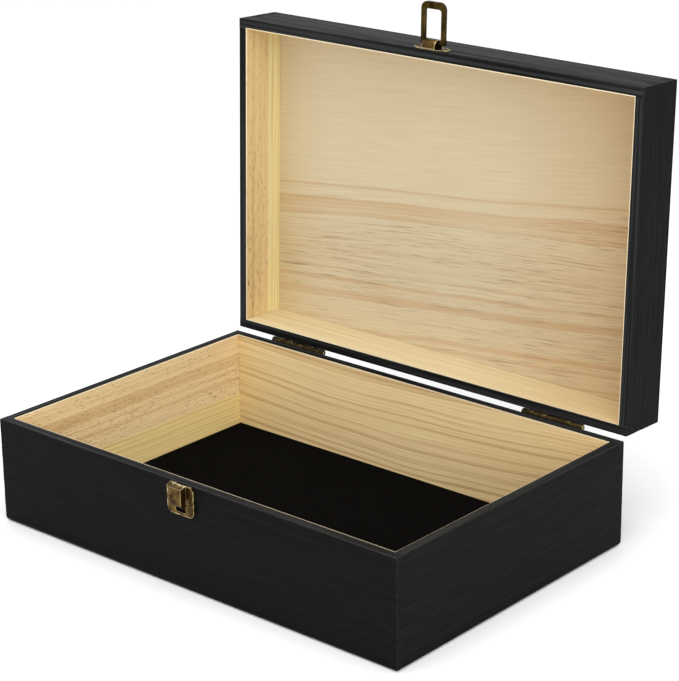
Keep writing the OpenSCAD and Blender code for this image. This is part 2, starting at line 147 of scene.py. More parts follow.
@dataclass
class Graph:
    """Adds nodes to one tree and wires them, so that a material reads from top to bottom."""

    tree: bpy.types.NodeTree

    def feed(self, socket: Socket, value: Value) -> None:
        """Links a socket, or sets it.

        Args:
            socket: The input to feed.
            value: Another node's output, or a plain value.
        """
        if isinstance(value, Socket):
            self.tree.links.new(value, socket)
        else:
            socket.default_value = value

    def node(self, kind: str, inputs: dict[Union[str, int], Value] | None = None,
             **settings: object) -> bpy.types.Node:
        """Adds a node.

        Args:
            kind: The node's type without the ShaderNode prefix.
            inputs: What feeds its sockets, by name or number.
            **settings: Its own options.

        Returns:
            The new node.
        """
        made = self.tree.nodes.new("ShaderNode" + kind)
        for name, setting in settings.items():
            setattr(made, name, setting)
        for key, value in (inputs or {}).items():
            self.feed(made.inputs[key], value)
        return made

    def math(self, operation: str, a: Value, b: Value = 0.0, clamp: bool = False) -> Socket:
        """The result of one Math node.

        Args:
            operation: The node's operation.
            a: First value.
            b: Second value.
            clamp: Whether the result stays between 0 and 1.

        Returns:
            The node's output.
        """
        return self.node("Math", {0: a, 1: b}, operation=operation, use_clamp=clamp).outputs[0]

    def ramp(self, value: Value, low: Value, high: Value, to_low: Value = 0.0,
             to_high: Value = 1.0) -> Socket:
        """A smooth step from one level to another.

        Args:
            value: What is mapped.
            low: Where the step starts.
            high: Where the step ends.
            to_low: The result at the start.
            to_high: The result at the end.

        Returns:
            The mapped value.
        """
        made = self.node("MapRange", {0: value, 1: low, 2: high, 3: to_low, 4: to_high},
                         interpolation_type="SMOOTHSTEP")
        return made.outputs[0]

    def mix(self, factor: Value, a: Value, b: Value, blend: str = "MIX") -> Socket:
        """A colour mixed from two.

        Args:
            factor: Share of the second colour.
            a: First colour.
            b: Second colour.
            blend: How the second colour acts on the first.

        Returns:
            The mixed colour.
        """
        made = self.node("Mix", data_type="RGBA", blend_type=blend)
        self.feed(made.inputs[0], factor)
        self.feed(made.inputs[6], a)
        self.feed(made.inputs[7], b)
        return made.outputs[2]

    def scaled(self, vector: Value, scale: Triple,
               offset: Value = (0.0, 0.0, 0.0)) -> Socket:
        """A vector stretched along its axes and moved.

        Args:
            vector: The vector.
            scale: Factor along each axis.
            offset: What is added at the end.

        Returns:
            The new vector.
        """
        made = self.node("VectorMath", {0: vector, 1: scale, 2: offset}, operation="MULTIPLY_ADD")
        return made.outputs[0]

    def split(self, vector: Value) -> list[Socket]:
        """The parts of a vector.

        Args:
            vector: The vector.

        Returns:
            Its x, y and z.
        """
        return list(self.node("SeparateXYZ", {0: vector}).outputs)

    def join(self, x: Value, y: Value, z: Value = 0.0) -> Socket:
        """A vector made from its parts.

        Args:
            x: First part.
            y: Second part.
            z: Third part.

        Returns:
            The vector.
        """
        return self.node("CombineXYZ", {0: x, 1: y, 2: z}).outputs[0]

    def finish(self, colour: Value, rough: Value, height: Value, bump: tuple[float, float],
               constants: dict[str, float]) -> None:
        """Ends a material with its bump, its shader and its output.

        Args:
            colour: Base colour.
            rough: Roughness.
            height: Height of the bump.
            bump: Strength and distance of the bump.
            constants: The shader's other levels, by the names of their sockets.
        """
        strength, distance = bump
        relief = self.node("Bump", {"Height": height, "Strength": strength, "Distance": distance})
        shader = self.node("BsdfPrincipled", {"Base Color": colour, "Roughness": rough,
                                              "Normal": relief.outputs[0]} | constants)
        self.node("OutputMaterial", {"Surface": shader.outputs[0]})

    def noise(self, vector: Value, detail: float = 2.0, roughness: float = 0.5) -> Socket:
        """Noise from 0 to 1 on coordinates that are already scaled.

        Args:
            vector: Where it is read.
            detail: How many finer layers it has.
            roughness: How strong the finer layers are.

        Returns:
            The noise value.
        """
        made = self.node("TexNoise", {"Vector": vector, "Scale": 1.0, "Detail": detail,
                                      "Roughness": roughness}, noise_dimensions="3D")
        return made.outputs["Fac"]


class Kind(Enum):
    """Types of a node group's sockets."""

    NUMBER = "NodeSocketFloat"
    VECTOR = "NodeSocketVector"
    COLOUR = "NodeSocketColor"


class GroupKit:
    """Builds each shared shader group once and hands it out by name."""

    def __init__(self) -> None:
        """Starts with no groups."""
        self.made: dict[str, bpy.types.NodeTree] = {}

    def define(self, name: str, inputs: dict[str, Kind], outputs: dict[str, Kind],
               wire: Callable[[Graph, Sources, Sinks], None]) -> None:
        """Makes one group.

        Args:
            name: The group's name.
            inputs: Its input sockets.
            outputs: Its output sockets.
            wire: Builds the inside from a graph, the group's inputs and its outputs.
        """
        tree = bpy.data.node_groups.new(name, "ShaderNodeTree")
        for label, kind in inputs.items():
            tree.interface.new_socket(name=label, in_out="INPUT", socket_type=kind.value)
        for label, kind in outputs.items():
            tree.interface.new_socket(name=label, in_out="OUTPUT", socket_type=kind.value)
        entry = tree.nodes.new("NodeGroupInput")
        leave = tree.nodes.new("NodeGroupOutput")
        wire(Graph(tree), entry.outputs, leave.inputs)
        self.made[name] = tree

    def place(self, graph: Graph, name: str, **inputs: Value) -> Sources:
        """Places a group in a material.

        Args:
            graph: The material's graph.
            name: The group's name.
            **inputs: What feeds its sockets, with underscores for spaces.

        Returns:
            The placed group's outputs.
        """
        made = graph.tree.nodes.new("ShaderNodeGroup")
        made.node_tree = self.made[name]
        for label, value in inputs.items():
            graph.feed(made.inputs[label.replace("_", " ")], value)
        return made.outputs


def room_in_box(graph: Graph, given: Sources) -> list[Socket]:
    """How far a point lies inside the faces of a box.

    Args:
        graph: The group's graph.
        given: Vector, and Centre and Half of the box.

    Returns:
        The room along x, y and z, negative outside.
    """
    away = graph.node("VectorMath", {0: given["Vector"], 1: given["Centre"]}, operation="SUBTRACT")
    size = graph.node("VectorMath", {0: away.outputs[0]}, operation="ABSOLUTE")
    room = graph.node("VectorMath", {0: given["Half"], 1: size.outputs[0]}, operation="SUBTRACT")
    return graph.split(room.outputs[0])


def wire_inside(graph: Graph, given: Sources, out: Sinks) -> None:
    """Mask of the bare inside of a box-shaped hollow.

    Args:
        graph: The group's graph.
        given: Vector, and Centre and Half of the hollow.
        out: Mask, 1 inside the hollow and on its walls.
    """
    x, y, z = room_in_box(graph, given)
    least = graph.math("MINIMUM", graph.math("MINIMUM", x, y), z)
    graph.feed(out["Mask"], graph.math("GREATER_THAN", least, 0.0))


def wire_worn_highlit_edges(graph: Graph, given: Sources, out: Sinks) -> None:
    """Mask of the outer edges of a box, where its finish wears off and a highlight is painted.

    Args:
        graph: The group's graph.
        given: Vector, Centre and Half of the box, and Reach of the wear.
        out: Mask, 1 on the edges.
    """
    x, y, z = room_in_box(graph, given)
    second = graph.math("MAXIMUM", graph.math("MINIMUM", x, y),
                        graph.math("MINIMUM", graph.math("MAXIMUM", x, y), z))
    near = graph.math("DIVIDE", second, given["Reach"])
    rub = graph.noise(graph.scaled(given["Vector"], EDGE_RUB), 3.0, 0.6)
    uneven = graph.math("ADD", near, graph.ramp(rub, 0.3, 0.7, 0.0, 0.7))
    graph.feed(out["Mask"], graph.ramp(uneven, 0.1, 1.0, 1.0, 0.0))


def ring_bands(graph: Graph, place: Value, deep: Value, ring: Value, seed: Value,
               start: float) -> Socket:
    """Growth rings as bands that darken slowly and end sharply.

    Args:
        graph: The group's graph.
        place: Distance across the board from the tree's heart.
        deep: Distance into the board from the tree's heart.
        ring: Mean width of a ring.
        seed: What sets this board apart.
        start: Share of the ring's width where it starts to darken.

    Returns:
        The band value, 1 at the end of a strong ring.
    """
    radius = graph.math("SQRT", graph.math("ADD", graph.math("MULTIPLY", place, place),
                                           graph.math("MULTIPLY", deep, deep)))
    change = graph.noise(graph.join(graph.math("MULTIPLY", radius, RING_CHANGES), seed), 1.0)
    uneven = graph.math("MULTIPLY", graph.math("SUBTRACT", change, 0.5), RING_VARIATION)
    count = graph.math("ADD", graph.math("DIVIDE", radius, ring), uneven)
    phase = graph.math("FRACT", count)
    year = graph.node("TexWhiteNoise", {"W": graph.math("ADD", graph.math("FLOOR", count), seed)},
                      noise_dimensions="1D").outputs["Value"]
    rise = graph.ramp(phase, start, RING_PEAK)
    late = graph.math("MULTIPLY", rise, graph.ramp(phase, RING_PEAK, 1.0, 1.0, 0.0))
    return graph.math("MULTIPLY", late, graph.ramp(year, 0.0, 1.0, 0.3, 1.15))


def fleck_mask(graph: Graph, given: Sources, along: Socket, across: Socket, lean: Socket,
               patchy: Socket) -> Socket:
    """Short dark flecks in one band of a board.

    Args:
        graph: The group's graph.
        given: The pine group's inputs.
        along: Distance along the board.
        across: Distance across it.
        lean: How far the grain has wandered across it.
        patchy: Noise that thins the flecks out.

    Returns:
        The mask, 1 on a strong fleck.
    """
    row = graph.math("MULTIPLY", graph.math("ADD", across, lean), FLECK_ROWS)
    cell = graph.join(graph.math("MULTIPLY", along, given["Fleck Pitch"]), row, given["Seed"])
    need = graph.ramp(patchy, 0.32, 0.68, 0.735, 0.65)
    dash = graph.ramp(graph.math("SUBTRACT", graph.noise(cell, 0.0), need), 0.0, 0.09)
    edge = graph.math("ADD", across, graph.math("MULTIPLY", lean, 2.0))
    low, high = given["Fleck From"], given["Fleck To"]
    lane = graph.math("MULTIPLY", graph.ramp(edge, graph.math("SUBTRACT", low, FLECK_BLUR), low),
                      graph.ramp(edge, high, graph.math("ADD", high, FLECK_BLUR), 1.0, 0.0))
    return graph.math("MULTIPLY", graph.math("MULTIPLY", dash, lane), given["Flecks"])


def wire_pine(graph: Graph, given: Sources, out: Sinks) -> None:
    """Bare pine: growth rings cut by a board, a zone of fine grain, fibres and dark flecks.

    Args:
        graph: The group's graph.
        given: Vector (along, across and into the board), Seed, and the fields of Rings.
        out: Color, Height and Rough.
    """
    vector, number = given["Vector"], given["Seed"]
    seed = graph.join(graph.math("MULTIPLY", number, 1.37),
                      graph.math("MULTIPLY", number, 0.73), number)
    along, across, into = graph.split(vector)
    drift = graph.noise(graph.scaled(vector, PINE_DRIFT, seed), 2.0, 0.45)
    shift = graph.math("MULTIPLY", graph.math("SUBTRACT", drift, 0.5), given["Wave"])
    tilt = graph.math("MULTIPLY", along, given["Slope"])
    bow = graph.math("MULTIPLY", graph.math("MULTIPLY", along, along), given["Bow"])
    lean = graph.math("ADD", shift, graph.math("ADD", tilt, bow))
    level = graph.math("ADD", across, lean)
    place = graph.math("ADD", graph.math("SUBTRACT", across, given["Heart"]), lean)
    deep = graph.math("ADD", into, given["Depth"])
    wide = ring_bands(graph, place, deep, given["Ring"], number, WIDE_START)
    fine = ring_bands(graph, place, deep, given["Zone Ring"], number, FINE_START)
    past = graph.math("MULTIPLY", graph.math("SUBTRACT", level, given["Zone At"]),
                      given["Zone Side"])
    zone = graph.ramp(past, -ZONE_BLUR, ZONE_BLUR)
    patchy = graph.noise(graph.scaled(vector, PINE_PATCHES, seed), 2.0)
    faded = graph.ramp(patchy, 0.25, 0.7, 0.5, 1.0)
    low = given["Band From"]
    banded = graph.ramp(level, graph.math("SUBTRACT", low, BAND_BLUR), low)
    strength = graph.math("MULTIPLY", faded, given["Strength"])
    both = graph.math("ADD", wide, graph.math("MULTIPLY", fine, 0.45))
    bands = graph.math("MULTIPLY", both, banded)
    broad = graph.mix(graph.math("MULTIPLY", bands, strength, clamp=True),
                      given["Early"], given["Late"])
    close = graph.mix(graph.math("MULTIPLY", fine, strength, clamp=True),
                      given["Zone Early"], given["Zone Late"])
    body = graph.mix(zone, broad, close)
    grain = graph.join(along, level, into)
    fibre = graph.noise(graph.scaled(grain, PINE_FIBRES, seed), 3.0, 0.65)
    shade = graph.node("CombineColor", {part: graph.ramp(fibre, 0.2, 0.8, dark, pale)
                                        for part, (dark, pale) in enumerate(FIBRE_SHADES)})
    body = graph.mix(1.0, body, shade.outputs[0], "MULTIPLY")
    streak = graph.noise(graph.scaled(grain, PINE_STREAKS, seed), 1.0)
    streak = graph.math("MULTIPLY", graph.ramp(streak, 0.60, 0.72, 0.0, 0.24), banded)
    body = graph.mix(streak, body, STREAK_TONE)
    fleck = fleck_mask(graph, given, along, across, lean, patchy)
    fleck = graph.math("MULTIPLY", fleck, graph.math("SUBTRACT", 1.0, zone))
    relief = graph.math("ADD", graph.math("MULTIPLY", wide, 0.35),
                        graph.math("MULTIPLY", fibre, 0.4))
    graph.feed(out["Color"], graph.mix(fleck, body, FLECK_TONE))
    graph.feed(out["Height"], graph.math("SUBTRACT", relief, fleck))
    graph.feed(out["Rough"], graph.ramp(fibre, 0.2, 0.8, 0.52, 0.64))


def wire_stain(graph: Graph, given: Sources, out: Sinks) -> None:
    """Black stain on pine: the grain still shows as streaks, and the edges are lighter, partly
    worn and partly a painted highlight.

    Args:
        graph: The group's graph.
        given: Vector (along, across and into the board), Seed, Dark, Light, End Grain, Wear
            and Rub.
        out: Color, Height and Rough.
    """
    vector, number = given["Vector"], given["Seed"]
    seed = graph.join(number, graph.math("MULTIPLY", number, 1.9),
                      graph.math("MULTIPLY", number, 0.4))
    streak = graph.noise(graph.scaled(vector, STAIN_STREAKS, seed), 3.0, 0.6)
    fine = graph.noise(graph.scaled(vector, STAIN_FIBRES, seed), 2.0, 0.6)
    cloud = graph.noise(graph.scaled(vector, STAIN_CLOUDS, seed), 2.0)
    share = graph.math("ADD", graph.math("MULTIPLY", graph.ramp(streak, 0.42, 0.64), 0.75),
                       graph.math("MULTIPLY", graph.ramp(cloud, 0.3, 0.7), 0.25))
    tone = graph.mix(share, given["Dark"], given["Light"])
    cell = graph.noise(graph.scaled(vector, END_CELLS, seed), 2.0)
    butt = graph.mix(graph.ramp(cell, 0.35, 0.75), END_DARK, END_LIGHT)
    tone = graph.mix(given["End Grain"], tone, butt)
    rubbed = graph.math("MULTIPLY", given["Wear"], given["Rub"])
    graph.feed(out["Color"], graph.mix(rubbed, tone, WORN_AND_HIGHLIT_STAIN))
    graph.feed(out["Height"], graph.math("ADD", graph.math("MULTIPLY", streak, 0.6),
                                         graph.math("MULTIPLY", fine, 0.5)))
    graph.feed(out["Rough"], graph.ramp(fine, 0.25, 0.75, 0.50, 0.68))


def wire_patina(graph: Graph, given: Sources, out: Sinks) -> None:
    """Antique bronze: mottled from dark to light, and bright where it is rubbed and where a
    highlight is painted.

    Args:
        graph: The group's graph.
        given: Vector, Dark, Light and Rubbed.
        out: Color, Height and Rough.
    """
    mottle = graph.noise(graph.scaled(given["Vector"], BRONZE_MOTTLE), 3.0, 0.5)
    brush = graph.noise(graph.scaled(given["Vector"], BRONZE_BRUSH), 2.0, 0.5)
    body = graph.mix(graph.ramp(mottle, 0.30, 0.68), given["Dark"], given["Light"])
    wear = graph.math("MULTIPLY", given["Rubbed"], graph.ramp(mottle, 0.2, 0.6, 0.8, 1.0))
    graph.feed(out["Color"], graph.mix(wear, body, RUBBED_AND_HIGHLIT_BRONZE))
    graph.feed(out["Height"], graph.math("ADD", graph.math("MULTIPLY", mottle, 0.6),
                                         graph.math("MULTIPLY", brush, 0.4)))
    graph.feed(out["Rough"], graph.math("SUBTRACT", graph.ramp(mottle, 0.25, 0.75, 0.42, 0.30),
                                        graph.math("MULTIPLY", wear, 0.08)))


def shared_groups() -> GroupKit:
    """The groups that more than one material uses.
    """
    number, vector, colour = Kind.NUMBER, Kind.VECTOR, Kind.COLOUR
    box = {"Vector": vector, "Centre": vector, "Half": vector}
    surface = {"Color": colour, "Height": number, "Rough": number}
    cut = {}
    for field in fields(Rings):
        kind = colour if isinstance(field.default, tuple) else number
        cut[field.name.replace("_", " ").title()] = kind
    kit = GroupKit()
    kit.define("inside", box, {"Mask": number}, wire_inside)
    kit.define("edges", box | {"Reach": number}, {"Mask": number}, wire_worn_highlit_edges)
    kit.define("pine", {"Vector": vector, "Seed": number} | cut, surface, wire_pine)
    kit.define("stain", {"Vector": vector, "Seed": number, "Dark": colour, "Light": colour,
                         "End Grain": number, "Wear": number, "Rub": number}, surface, wire_stain)
    kit.define("patina", {"Vector": vector, "Dark": colour, "Light": colour, "Rubbed": number},
               surface, wire_patina)
    return kit


@dataclass(frozen=True)
class Rings:
    """How one board was cut from the tree. Each field feeds the pine group's input of its name."""

    ring: float = 7 * MM  # mean width of a growth ring
    heart: float = 0.0  # where the tree's heart lies across the board
    depth: float = 30 * MM  # how far the heart lies from the board's inner face
    slope: float = 0.0  # how steeply the grain climbs along the board
    bow: float = 0.0  # how much it curves along the board, per metre
    wave: float = 10 * MM  # how far it wanders
    strength: float = 0.7  # how dark the rings show
    early: Colour = srgb(236, 212, 168)  # colour of the pale wood
    late: Colour = srgb(206, 168, 116)  # colour of the dark rings
    zone_at: float = 1.0  # level across the board where the zone of fine grain starts
    zone_side: float = 1.0  # 1 for a zone above that level, -1 for one below
    zone_ring: float = 2.4 * MM  # mean width of a ring in the zone
    zone_early: Colour = srgb(238, 212, 152)  # colour of the zone's pale wood
    zone_late: Colour = srgb(202, 164, 92)  # colour of the zone's dark rings
    band_from: float = -1.0  # level from which the rings show
    fleck_from: float = 1.0  # level where the flecks start
    fleck_to: float = 2.0
    fleck_pitch: float = 120.0  # scale of the flecks along the board, in repeats per metre
    flecks: float = 0.0


@dataclass(frozen=True)
class Stain:
    """Black stain on a board's outside; a bright light colour in it is painted sheen."""

    dark: Colour = grey(0.0030)  # its colour between the streaks
    light: Colour = grey(0.0058)  # its colour on the streaks
    rub: float = 0.22  # how much lighter its outer edges are, by wear and by a painted highlight


class Grain(Enum):
    """Where a board's grain runs, as the axes that give along, across and into the board."""

    ALONG_X = (0, 2, 1)
    ALONG_Y = (1, 2, 0)
    PANEL = (0, 1, 2)


@dataclass(frozen=True)
class Board:
    """One board of the case and its look."""

    node: str  # name of its CAD node
    grain: Grain
    side: int  # -1 at the front, left or bottom, else 1
    seed: float  # sets its grain apart
    rings: Rings  # the cut of its bare side
    in_lid: bool = False  # whether it belongs to the lid
    stain: Stain = Stain()  # the stain on its outside, with painted sheen where its light colour is bright
    tan: float = 0.0  # how much painted shade darkens the right end of its bare side
    rim_stain_and_sheen: Stain = Stain(grey(0.0040), grey(0.034, -0.04))  # the stain on its rim, whose light streaks are a painted bluish sheen


@dataclass(frozen=True)
class Sizes:
    """The case's own sizes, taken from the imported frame, in metres."""

    half_w: float
    half_d: float
    wall: float  # thickness of a wall
    rim: float  # height of the base's rim
    floor: float  # height of the bottom panel's top
    hinge: Vector  # a point on the lid's axis
    open_angle: float  # how far the lid is open, in radians
    lid_rim: float  # height of the shut lid's rim
    lid_ceiling: float  # height of the shut lid's inner face
    lid_top: float  # height of the shut lid's top

    @staticmethod
    def read() -> "Sizes":
        """Works the sizes out from the boxes of the boards and from the lid's joint.

        Returns:
            The case's sizes.
        """
        low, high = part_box("base_front_wall")
        _, panel_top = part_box("bottom_panel")
        joints = {joint["name"]: joint for joint in frame["record"]["behaviour"]["joints"]}
        hinge = Vector(joints["lid_hinge"]["pos_m"])
        angle = math.radians(joints["lid_hinge"]["range_deg"][1])
        shut = Matrix.Rotation(angle, 3, "X")
        corners = {name: [shut @ (frame["nodes"][name].matrix_world @ v.co - hinge) + hinge
                          for v in frame["nodes"][name].data.vertices]
                   for name in ("lid_front_wall", "lid_top_panel")}
        return Sizes(half_w=high.x, half_d=-low.y, wall=high.y - low.y, rim=high.z,
                     floor=panel_top.z, hinge=hinge, open_angle=angle,
                     lid_rim=min(v.z for v in corners["lid_front_wall"]),
                     lid_ceiling=min(v.z for v in corners["lid_top_panel"]),
                     lid_top=max(v.z for v in corners["lid_top_panel"]))


def ease_edges(piece: bpy.types.Object, width: float, slot: int) -> None:
    """Rounds the sharp edges of a CAD piece by modifiers that stay live.

    Args:
        piece: The piece.
        width: Width of the rounding.
        slot: Material slot of the rounded edges, or -1 for that of their faces.
    """
    weld = piece.modifiers.new("weld", "WELD")
    weld.merge_threshold = WELD_GAP
    flat = piece.modifiers.new("flat", "DECIMATE")
    flat.decimate_type = "DISSOLVE"
    flat.angle_limit = FLAT_ANGLE
    ease = piece.modifiers.new("ease", "BEVEL")
    ease.width = width
    ease.segments = EDGE_SEGMENTS
    ease.limit_method = "ANGLE"
    ease.angle_limit = SHARP_ANGLE
    ease.material = slot
    ease.use_clamp_overlap = True


def dress_node(name: str, finishes: list[bpy.types.Material], eased: float) -> None:
    """Gives a CAD node its materials and rounds its edges.

    Args:
        name: The node.
        finishes: The material of its faces and, where they differ, that of its edges.
        eased: Width of the rounding.
    """
    piece = frame["nodes"][name]
    piece.data.materials.clear()
    for finish in finishes:
        piece.data.materials.append(finish)
    ease_edges(piece, eased, 1 if len(finishes) > 1 else -1)
    LOG.info("dressed %s", name)


def blank_material(name: str) -> tuple[bpy.types.Material, Graph]:
    """A material without nodes.

    Args:
        name: Its name.

    Returns:
        The material, and the graph that fills it.
    """
    made = bpy.data.materials.new(name)
    made.use_nodes = True
    made.node_tree.nodes.clear()
    return made, Graph(made.node_tree)


@dataclass
class Woodwork:
    """The boards and panels of the base and the lid."""

    sizes: Sizes
    kit: GroupKit
    boards: list[Board]
    skin: float = 0.12 * MM  # how far off its plane a face still counts as on it
    eased: float = 0.22 * MM
    wear_and_highlight_reach: float = 1.0 * MM  # how far the wear and painted highlight reach from the outer edges
    base_lip: float = 0.14 * MM  # width of bare wood on the inner edge of the base's rim
    lid_lip: float = 0.42 * MM  # width of bare wood on the inner edge of the lid's rim
    pale_line: float = 0.9 * MM  # how far the pale line reaches from the rim
    line_core: float = 0.6  # share of that reach where the line is at its palest
    line_share: float = 0.55
    glow: float = 0.35  # how strongly painted warm light tints the left end of the inside yellow
    glow_reach: float = 42 * MM  # how far the painted warm light reaches
    glow_tint: Colour = (1.0, 0.96, 0.76, 1.0)
    tan_from: float = 0.0  # where the painted shade begins, from left to right
    tan_tint: Colour = (0.84, 0.72, 0.58, 1.0)  # the painted shade's tint at its right end
    shine: float = 0.06
    bump: tuple[float, float] = (0.35, 0.12 * MM)  # strength and distance of the bump

    def shut_coordinates(self, graph: Graph, in_lid: bool) -> Socket:
        """Object coordinates, turned back to the shut lid for the lid's boards.

        Args:
            graph: The material's graph.
            in_lid: Whether the board belongs to the lid.

        Returns:
            The coordinates.
        """
        place = graph.node("TexCoord").outputs["Object"]
        if not in_lid:
            return place
        turn = Matrix.Rotation(self.sizes.open_angle, 3, "X")
        move = self.sizes.hinge - turn @ self.sizes.hinge
        return graph.node("Mapping", {"Vector": place, "Location": move, "Rotation": (
            self.sizes.open_angle, 0.0, 0.0)}).outputs[0]

    def hollow(self, in_lid: bool) -> tuple[Vector, Vector]:
        """Centre and half size of the bare inside, in shut coordinates.

        Args:
            in_lid: Whether it is the lid's hollow.

        Returns:
            The centre and the half size.
        """
        low = self.sizes.lid_rim + self.skin if in_lid else self.sizes.floor - self.skin
        high = self.sizes.lid_ceiling + self.skin if in_lid else self.sizes.rim - self.skin
        half = Vector((self.sizes.half_w - self.sizes.wall + self.skin,
                       self.sizes.half_d - self.sizes.wall + self.skin, (high - low) / 2))
        return Vector((0.0, 0.0, (low + high) / 2)), half

    def shell(self, in_lid: bool) -> tuple[Vector, Vector]:
        """Centre and half size of the outside, in shut coordinates.

        Args:
            in_lid: Whether it is the lid's outside.

        Returns:
            The centre and the half size.
        """
        low = self.sizes.lid_rim if in_lid else 0.0
        high = self.sizes.lid_top if in_lid else self.sizes.rim
        return (Vector((0.0, 0.0, (low + high) / 2)),
                Vector((self.sizes.half_w, self.sizes.half_d, (high - low) / 2)))

    def face(self, board: Board) -> float:
        """Where a board's inner face lies on the axis into the board.

        Args:
            board: The board.

        Returns:
            Its coordinate, with the lid shut.
        """
        if board.grain is Grain.PANEL:
            return self.sizes.lid_ceiling if board.side > 0 else self.sizes.floor
        half = self.sizes.half_d if board.grain is Grain.ALONG_X else self.sizes.half_w
        return board.side * (half - self.sizes.wall)

    def end_grain(self, graph: Graph, place: Socket, board: Board) -> Value:
        """Mask of the ends of a board's fingers.

        Args:
            graph: The material's graph.
            place: Shut coordinates.
            board: The board.

        Returns:
            The mask, 1 on the ends.
        """
        if board.grain is Grain.PANEL:
            return 0.0
        axis = board.grain.value[0]
        end = (self.sizes.half_w, self.sizes.half_d)[axis]
        out = graph.math("ABSOLUTE", graph.split(place)[axis])
        return graph.math("GREATER_THAN", out, end - self.skin)

    def bare_mask(self, graph: Graph, place: Socket, rim_z: float, in_lid: bool) -> Socket:
        """Mask of the wood without stain: the inside and the inner edge of the rim.

        Args:
            graph: The material's graph.
            place: Shut coordinates.
            rim_z: Height of the rim.
            in_lid: Whether the board belongs to the lid.

        Returns:
            The mask, 1 on bare wood.
        """
        centre, half = self.hollow(in_lid)
        inside = self.kit.place(graph, "inside", Vector=place, Centre=centre, Half=half)["Mask"]
        reach = self.lid_lip if in_lid else self.base_lip
        lip = self.kit.place(graph, "inside", Vector=place, Centre=(0.0, 0.0, rim_z),
                             Half=half + Vector((reach, reach, self.skin * 2 - half.z)))["Mask"]
        return graph.math("MAXIMUM", inside, lip)

    def material(self, board: Board) -> bpy.types.Material:
        """Stained outside and bare inside, with the board's own grain.

        Args:
            board: The board.

        Returns:
            The material.
        """
        made, graph = blank_material("stained_pine_" + board.node)
        place = self.shut_coordinates(graph, board.in_lid)
        parts = graph.split(place)
        grain = graph.join(*(parts[axis] for axis in board.grain.value))
        rim_z = self.sizes.lid_rim if board.in_lid else self.sizes.rim
        bare = self.bare_mask(graph, place, rim_z, board.in_lid)
        centre, half = self.shell(board.in_lid)
        # The outer edges are painted lighter: partly worn stain, partly a painted highlight.
        wear = self.kit.place(graph, "edges", Vector=place, Centre=centre, Half=half,
                              Reach=self.wear_and_highlight_reach)["Mask"]
        cut = {name.title(): value for name, value in asdict(board.rings).items()}
        cut["Depth"] -= self.face(board)
        pine = self.kit.place(graph, "pine", Vector=grain, Seed=board.seed, **cut)
        from_rim = graph.math("ABSOLUTE", graph.math("SUBTRACT", parts[2], rim_z))
        on_rim = graph.math("LESS_THAN", from_rim, self.skin)
        # On the rim the stain takes the rim's colours, whose light streaks are painted sheen.
        stain = self.kit.place(graph, "stain", Vector=grain, Seed=board.seed,
                               Dark=graph.mix(on_rim, board.stain.dark, board.rim_stain_and_sheen.dark),
                               Light=graph.mix(on_rim, board.stain.light, board.rim_stain_and_sheen.light),
                               Rub=board.stain.rub, Wear=wear,
                               End_Grain=self.end_grain(graph, place, board))
        line = graph.ramp(from_rim, self.pale_line * self.line_core, self.pale_line,
                          self.line_share, 0.0)
        wood = graph.mix(line, pine["Color"], PALE_LINE_TONE)
        # Painted light on the bare wood: warm light at the left end of the inside.
        corner = self.sizes.wall - self.sizes.half_w
        glow = graph.ramp(parts[0], corner, corner + self.glow_reach, self.glow, 0.0)
        wood = graph.mix(glow, wood, self.glow_tint, "MULTIPLY")
        # Painted shade: the right end of the inside darkens.
        tan = graph.ramp(parts[0], self.tan_from, -corner, 0.0, board.tan)
        wood = graph.mix(tan, wood, self.tan_tint, "MULTIPLY")
        stained = graph.math("SUBTRACT", 1.0, bare)
        rough, height = (graph.math("ADD", graph.math("MULTIPLY", bare, pine[name]),
                                    graph.math("MULTIPLY", stained, stain[name]))
                         for name in ("Rough", "Height"))
        graph.finish(graph.mix(bare, stain["Color"], wood), rough, height, self.bump,
                     {"Specular IOR Level": self.shine})
        return made

    def dress(self) -> None:
        """Gives every board its material."""
        for board in self.boards:
            dress_node(board.node, [self.material(board)], self.eased)


@dataclass(frozen=True)
class Bronze:
    """Antique bronze plating, darker or lighter from piece to piece."""

    name: str
    dark: Colour  # its colour in the dark spots
    light: Colour  # its colour in the light spots
    rim_reach: float = 0.75 * MM  # how far a plate's bright rim reaches, partly rubbed and partly a painted highlight
    bump: tuple[float, float] = (0.4, 0.03 * MM)  # strength and distance of the bump

    def material(self, kit: GroupKit, rubbed: float,
                 slab: Slab | None = None) -> bpy.types.Material:
        """The plating as a material.

        Args:
            kit: The shared groups.
            rubbed: How bright it is rubbed and painted with a highlight, from 0 to 1.
            slab: Lowest and highest corner of a flat plate that is worn bright and painted with a
                highlight round its edges.

        Returns:
            The material.
        """
        # The edges' material paints them bright: rubbed wear and a painted highlight.
        made, graph = blank_material(self.name + ("_rubbed" if rubbed else ""))
        place = graph.node("TexCoord").outputs["Object"]
        wear: Value = rubbed
        if slab is not None:
            centre = tuple((low + high) / 2 for low, high in zip(*slab))
            half = tuple((high - low) / 2 for low, high in zip(*slab))
            wear = kit.place(graph, "edges", Vector=place, Centre=centre, Half=half,
                             Reach=self.rim_reach)["Mask"]
        patina = kit.place(graph, "patina", Vector=place, Dark=self.dark, Light=self.light,
                           Rubbed=wear)
        graph.finish(patina["Color"], patina["Rough"], patina["Height"], self.bump,
                     {"Metallic": 1.0})
        return made


@dataclass
class Hardware:
    """The bronze pieces that share one tone."""

    kit: GroupKit
    finish: Bronze
    nodes: list[str]
    eased: float = 0.16 * MM
    plate: float = 0.0  # thickness of the first piece's plate if it has a bright rim, else 0
    rubbed: float = 0.9  # how bright the rounded edges are, by rubbed wear and a painted highlight

    def dress(self) -> None:
        """Gives each piece its plating, eased edges, and bright edges that are partly wear and
        partly a painted highlight.
        """
        slab = None
        if self.plate:
            low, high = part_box(self.nodes[0])
            slab = ((low.x, high.y - self.plate, low.z), tuple(high))
        faces = self.finish.material(self.kit, 0.0, slab)
        edges = self.finish.material(self.kit, self.rubbed)
        for name in self.nodes:
            dress_node(name, [faces, edges], self.eased)


